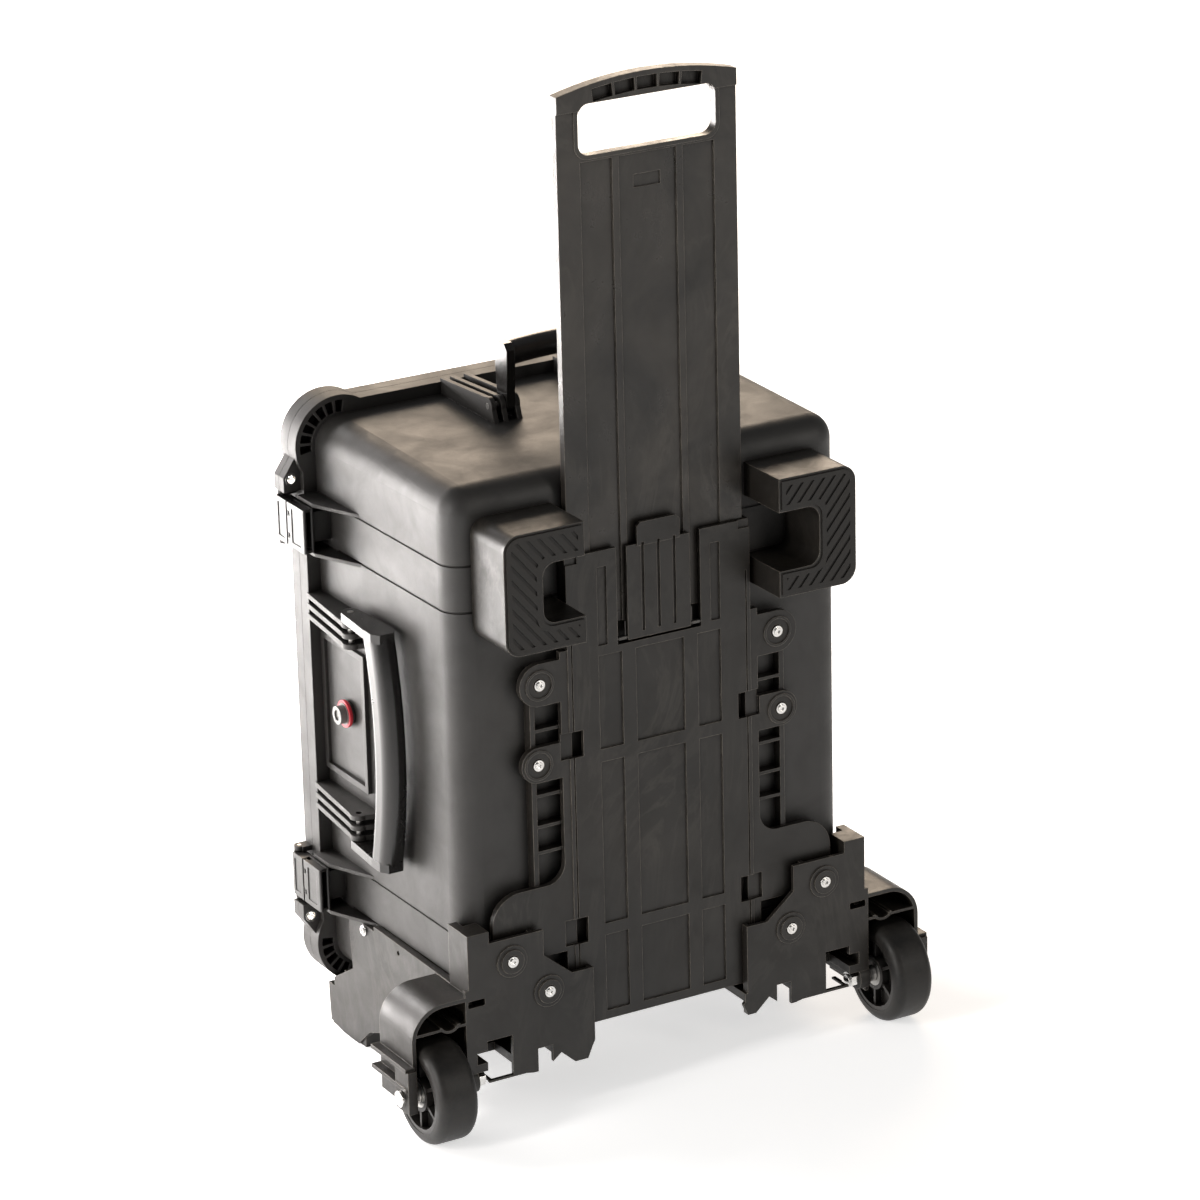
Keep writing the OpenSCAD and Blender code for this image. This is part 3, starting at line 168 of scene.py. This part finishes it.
def plastic(name, dark, light, edge, rough, grain, grain_scale=1400.0, flow=0.0, spec=0.5,
            pits=0.0, wear_and_highlight=(0.35, 0.7)):
    """Moulded plastic: fine grain, slow colour drift, flow marks, paler edges that are partly rubbed
    and partly a painted edge highlight, and painted shade in corners and grooves.
    """
    t = Tree(name)
    drift = t.noise(scale=7.0, detail=4.0, rough=0.6, distort=1.2)
    colour = t.ramp(drift, [(0.32, dark), (0.7, light)])
    gloss = t.span(t.noise(scale=24.0, detail=5.0, rough=0.65, distort=0.6), (0.3, 0.7), rough)
    if flow:
        swirl = t.noise(scale=10.0, detail=5.0, rough=0.62, distort=3.2, vec=t.stretch(1.0, 1.0, 0.45))
        line = t.ramp(swirl, [(0.44, (0, 0, 0)), (0.5, (1, 1, 1)), (0.56, (0, 0, 0))])
        patch = t.span(t.noise(scale=3.2, detail=3.0, rough=0.6, distort=2.0), (0.4, 0.65), (0.0, 1.0))
        lit = t.maths("MULTIPLY", t.maths("MULTIPLY", line, flow), patch)
        colour = t.mix(lit, colour, edge)
        gloss = t.maths("SUBTRACT", gloss, t.maths("MULTIPLY", line, 0.05))
    normal = t.rounded(PLASTIC_EDGE)
    # Paler edges where the rounded normal bends: partly rubbing, partly a painted edge highlight
    rub_and_highlight = t.span(t.noise(scale=55.0, detail=4.0, rough=0.7), (0.35, 0.7), wear_and_highlight)
    colour = t.mix(t.maths("MULTIPLY", t.bent(normal), rub_and_highlight), colour, edge)
    # Painted shade: the colour darkens and the specular dims in corners and grooves, where shade falls
    crevice_shade = t.painted_crevice_shade()
    colour = t.mix(t.maths("MULTIPLY", crevice_shade, 0.75), colour, scaled(dark, 0.25))
    t.set("Base Color", colour)
    t.set("Roughness", gloss)
    t.set("Specular IOR Level", t.span(crevice_shade, (0.0, 1.0), (spec, 0.15 * spec)))
    normal = t.bump(t.noise(grain_scale, detail=2.0, rough=0.6), grain, 0.00025, normal)
    normal = t.bump(t.noise(scale=38.0, detail=3.0, rough=0.5), 0.12, 0.0008, normal)
    if pits:
        normal = t.bump(t.noise(grain_scale * 0.35, detail=3.0, rough=0.7), pits, 0.0005, normal)
    t.set("Normal", normal)
    return t.mat


def rubber(name, dark, light, rough):
    """Matt rubber with a little dust and paler edges."""
    t = Tree(name)
    dust = t.noise(scale=60.0, detail=6.0, rough=0.7)
    normal = t.rounded(RUBBER_EDGE)
    colour = t.ramp(dust, [(0.35, dark), (0.72, light)])
    colour = t.mix(t.maths("MULTIPLY", t.bent(normal), 0.35), colour, scaled(light, 1.8))
    t.set("Base Color", colour)
    t.set("Roughness", t.span(dust, (0.3, 0.7), rough))
    t.set("Specular IOR Level", 0.35)
    t.set("Normal", t.bump(t.noise(scale=900.0, detail=3.0, rough=0.7), 0.35, 0.0003, normal))
    return t.mat


def metal(name, tone, rough):
    """Turned or stamped steel with fine scratches."""
    t = Tree(name)
    stain = t.noise(scale=180.0, detail=5.0, rough=0.7)
    t.set("Base Color", t.ramp(stain, [(0.3, scaled(tone, 0.72)), (0.62, tone)]))
    t.set("Metallic", 1.0)
    t.set("Roughness", t.span(t.noise(scale=420.0, detail=6.0, rough=0.7), (0.3, 0.7), rough))
    scratch = t.noise(scale=1500.0, detail=4.0, rough=0.8, vec=t.stretch(1.0, 6.0, 1.0))
    t.set("Normal", t.bump(scratch, 0.12, 0.0001, t.rounded(METAL_EDGE)))
    return t.mat


# The case and its lid share all but one tone, the bolted-on kit shares its very pale edges, partly
# rubbed and partly a painted edge highlight
SHELL = dict(dark=(0.011, 0.0098, 0.0088), edge=(0.06, 0.054, 0.047), rough=(0.48, 0.62),
             grain=0.4, grain_scale=1100.0, pits=0.14, spec=0.6)
WORN_AND_HIGHLIT = dict(edge=(0.34, 0.30, 0.25), wear_and_highlight=(0.3, 1.0))

CASE = plastic("case_shell", light=(0.019, 0.017, 0.015), **SHELL)
LID = plastic("case_lid", light=(0.018, 0.016, 0.0145), **SHELL)
KIT = plastic("kit_plastic", dark=(0.0075, 0.0063, 0.0050), light=(0.0155, 0.0132, 0.0108),
              rough=(0.34, 0.56), grain=0.25, flow=0.035, spec=0.42, **WORN_AND_HIGHLIT)
# The pull plate's strong drift from dark to pale tone is partly random tone and partly a painted
# mottled sheen
PULL = plastic("pull_plastic", dark=(0.0065, 0.0055, 0.0044), light=(0.036, 0.031, 0.0255),
               rough=(0.26, 0.52), grain=0.22, flow=0.05, spec=0.45, **WORN_AND_HIGHLIT)
GRIP = plastic("grip_plastic", dark=(0.006, 0.0056, 0.0052), light=(0.011, 0.0102, 0.0095),
               edge=(0.05, 0.046, 0.042), rough=(0.16, 0.3), grain=0.18, grain_scale=900.0)
LATCH = plastic("latch_plastic", dark=(0.008, 0.0072, 0.0066), light=(0.014, 0.0128, 0.0116),
                edge=(0.07, 0.062, 0.055), rough=(0.26, 0.42), grain=0.22)
VALVE = plastic("valve_plastic", dark=(0.10, 0.098, 0.092), light=(0.16, 0.155, 0.148),
                edge=(0.3, 0.3, 0.29), rough=(0.3, 0.45), grain=0.15)
HUB = plastic("hub_plastic", dark=(0.010, 0.009, 0.008), light=(0.018, 0.016, 0.0145),
              edge=(0.09, 0.08, 0.07), rough=(0.3, 0.46), grain=0.2)
PAD = rubber("pad_rubber", (0.008, 0.0070, 0.0060), (0.018, 0.0155, 0.0130), (0.42, 0.62))
TYRE = rubber("tyre_rubber", (0.007, 0.0063, 0.0057), (0.020, 0.0178, 0.0155), (0.38, 0.58))
SEAL = rubber("seal_rubber", (0.012, 0.012, 0.012), (0.02, 0.02, 0.02), (0.55, 0.7))
RED = rubber("ring_rubber", (0.32, 0.02, 0.03), (0.5, 0.035, 0.05), (0.3, 0.45))
STEEL = metal("steel", (0.52, 0.51, 0.49), (0.24, 0.42))
DARK = metal("blackened_steel", (0.10, 0.096, 0.092), (0.34, 0.5))
BRIGHT = metal("bright_steel", (0.80, 0.79, 0.77), (0.10, 0.24))

# The first entry that a node's name starts with decides its material
LOOKS = [
    ("base_shell", CASE), ("lid_shell", LID), ("lid_seal", SEAL), ("hinge_pins", STEEL),
    ("padlock", BRIGHT), ("latch_hook_pins", STEEL), ("latch_lever_pin", STEEL), ("latch", LATCH),
    ("front_handle_pins", STEEL), ("front_handle", GRIP), ("top_handle_pins", STEEL),
    ("top_handle", GRIP), ("valve_ring", RED), ("valve", VALVE), ("slide_housing", KIT),
    ("pull_handle", PULL), ("release_lever", KIT), ("release", DARK), ("bumper_pad", PAD),
    ("bumper", KIT), ("wheel_bracket", KIT), ("wheel_hub", HUB), ("wheel_bearings", STEEL),
    ("tyre", TYRE), ("axle_spacers", STEEL), ("axle", BRIGHT), ("housing_screws", BRIGHT),
    ("bracket_screws", BRIGHT), ("side_screws", BRIGHT),
]

for name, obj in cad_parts.items():
    obj.data.materials.clear()
    obj.data.materials.append(next(look for start, look in LOOKS if name.startswith(start)))


# ---------- camera ----------

def camera_matrix(azimuth, elevation, roll, target, distance):
    a, e, r = math.radians(azimuth), math.radians(elevation), math.radians(roll)
    back = Vector((math.sin(a) * math.cos(e), -math.cos(a) * math.cos(e), math.sin(e)))
    right = (-back).cross(Vector((0, 0, 1))).normalized()
    up = right.cross(-back)
    side = right * math.cos(r) + up * math.sin(r)
    top = up * math.cos(r) - right * math.sin(r)
    turn = Matrix((side, top, back)).transposed()
    return Matrix.Translation(target + back * distance) @ turn.to_4x4()


cam = bpy.data.objects.new("camera", bpy.data.cameras.new("camera"))
cam.data.sensor_width = CAMERA_SENSOR
cam.data.lens = CAMERA_LENS
cam.data.clip_end = CAMERA_CLIP
cam.matrix_world = camera_matrix(CAMERA_AZIMUTH, CAMERA_ELEVATION, CAMERA_ROLL, CAMERA_TARGET,
                                 CAMERA_DISTANCE)
scene.collection.objects.link(cam)
scene.camera = cam


# ---------- floor ----------

def plane(name, size, z, material):
    me = bpy.data.meshes.new(name)
    s = size / 2
    me.from_pydata([(-s, -s, z), (s, -s, z), (s, s, z), (-s, s, z)], [], [(0, 1, 2, 3)])
    me.materials.append(material)
    ob = bpy.data.objects.new(name, me)
    scene.collection.objects.link(ob)


paper = Tree("floor_paper")
mottle = paper.noise(scale=3.0, detail=2.0, rough=0.5)
paper.set("Base Color", paper.ramp(mottle, [(0.3, (0.86, 0.86, 0.86)), (0.7, (0.9, 0.9, 0.9))]))
paper.set("Roughness", 0.85)
paper.set("Specular IOR Level", 0.1)
paper.set("Emission Color", (1, 1, 1, 1))
paper.set("Emission Strength", FLOOR_GLOW)
plane("floor", FLOOR_SIZE, FLOOR_Z, paper.mat)


# ---------- lights ----------

def light(name, at, target, size, power, colour, spread=math.pi):
    data = bpy.data.lights.new(name, "AREA")
    data.shape = "RECTANGLE"
    data.size, data.size_y = size
    data.energy = power
    data.color = colour
    data.spread = spread
    ob = bpy.data.objects.new(name, data)
    turn = (Vector(target) - Vector(at)).to_track_quat("-Z", "Y").to_matrix().to_4x4()
    ob.matrix_world = Matrix.Translation(Vector(at)) @ turn
    scene.collection.objects.link(ob)


light("left_back_softbox", at=(-2.35, 3.5, 0.6), target=(-0.1, 0.0, 0.3), size=(2.8, 1.1),
      power=190, colour=(1.0, 0.955, 0.935))
light("right_back_softbox", at=(1.9, 3.8, 2.3), target=(0, 0, 0.6), size=(2.8, 1.4),
      power=115, colour=(1.0, 0.82, 0.64))
# Lights a patch of floor that the case's left face reflects
light("floor_wash", at=(-1.6, 2.6, 2.0), target=(-1.5, 2.2, 0.0), size=(2.0, 2.0),
      power=420, colour=(1.0, 0.965, 0.945), spread=1.6)
light("left_strip", at=(-3.4, -0.5, 1.4), target=(-0.2, -0.1, 0.4), size=(0.5, 2.2),
      power=80, colour=(1.0, 0.97, 0.94))
light("front_glow", at=(1.6, -3.4, 1.9), target=(0, -0.15, 0.5), size=(0.8, 1.6),
      power=26, colour=(1.0, 0.95, 0.88))

world = bpy.data.worlds.new("studio")
world.use_nodes = True
background = world.node_tree.nodes["Background"]
background.inputs["Color"].default_value = (1, 1, 1, 1)
background.inputs["Strength"].default_value = WORLD_STRENGTH
scene.world = world
scene.view_settings.view_transform = "Standard"
scene.view_settings.look = "None"
scene.view_settings.exposure = 0.0

bpy.context.view_layer.update()
